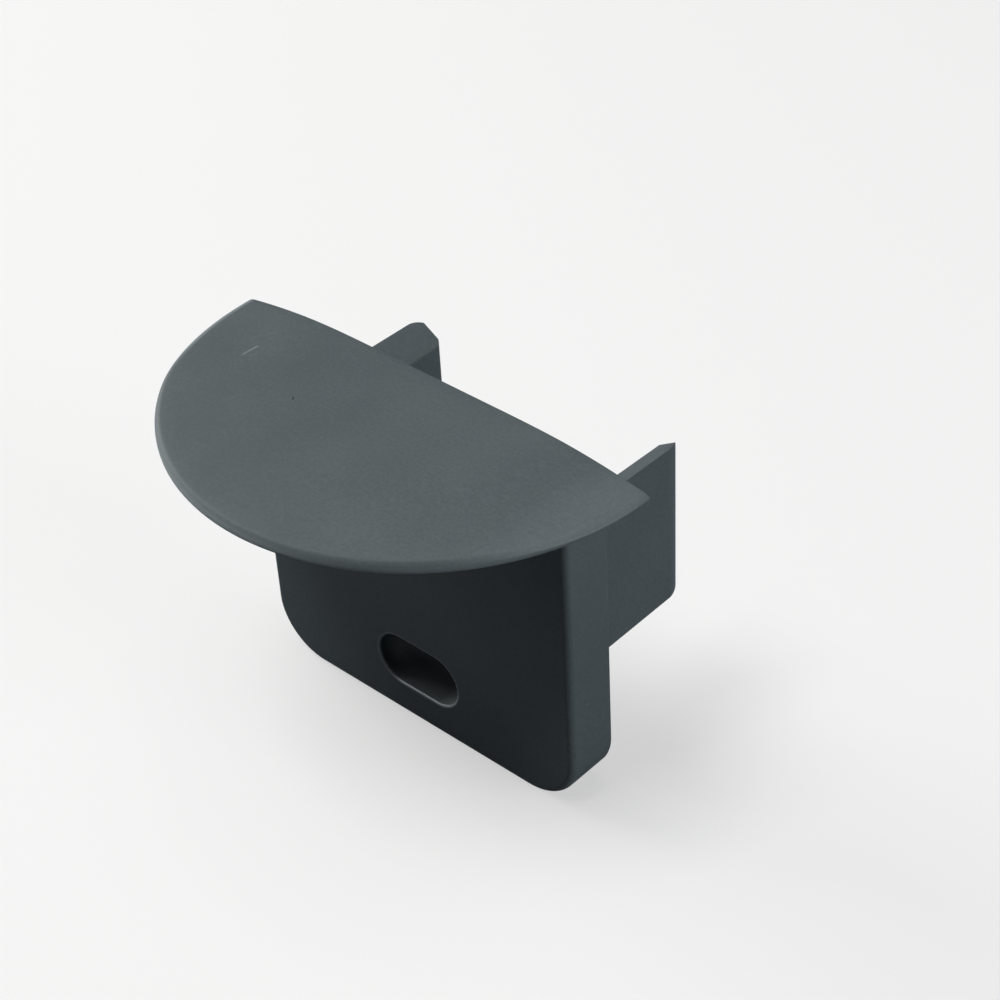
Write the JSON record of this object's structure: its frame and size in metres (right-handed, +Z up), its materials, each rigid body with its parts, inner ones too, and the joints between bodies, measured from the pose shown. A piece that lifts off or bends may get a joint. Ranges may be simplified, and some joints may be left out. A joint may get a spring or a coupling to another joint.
{
  "type": "profile end cap",
  "caption": "Moulded end cap with a half-round flange, a plate with a cable slot and plug legs that close the end of a recessed strip profile",
  "frame": {"origin": "on the flat seat face, midway across the cap, at the level of the flange's underside", "axes": "+X across the cap; +Y out of the seat face, along the profile and the legs; +Z up, with the flange on top"},
  "size_m": [0.0244, 0.0198, 0.0191],
  "materials": {
    "grey_plastic": "fine matte, as moulded"
  },
  "bodies": {
    "root": {"end_cap": "grey_plastic"}
  },
  "joints": []
}
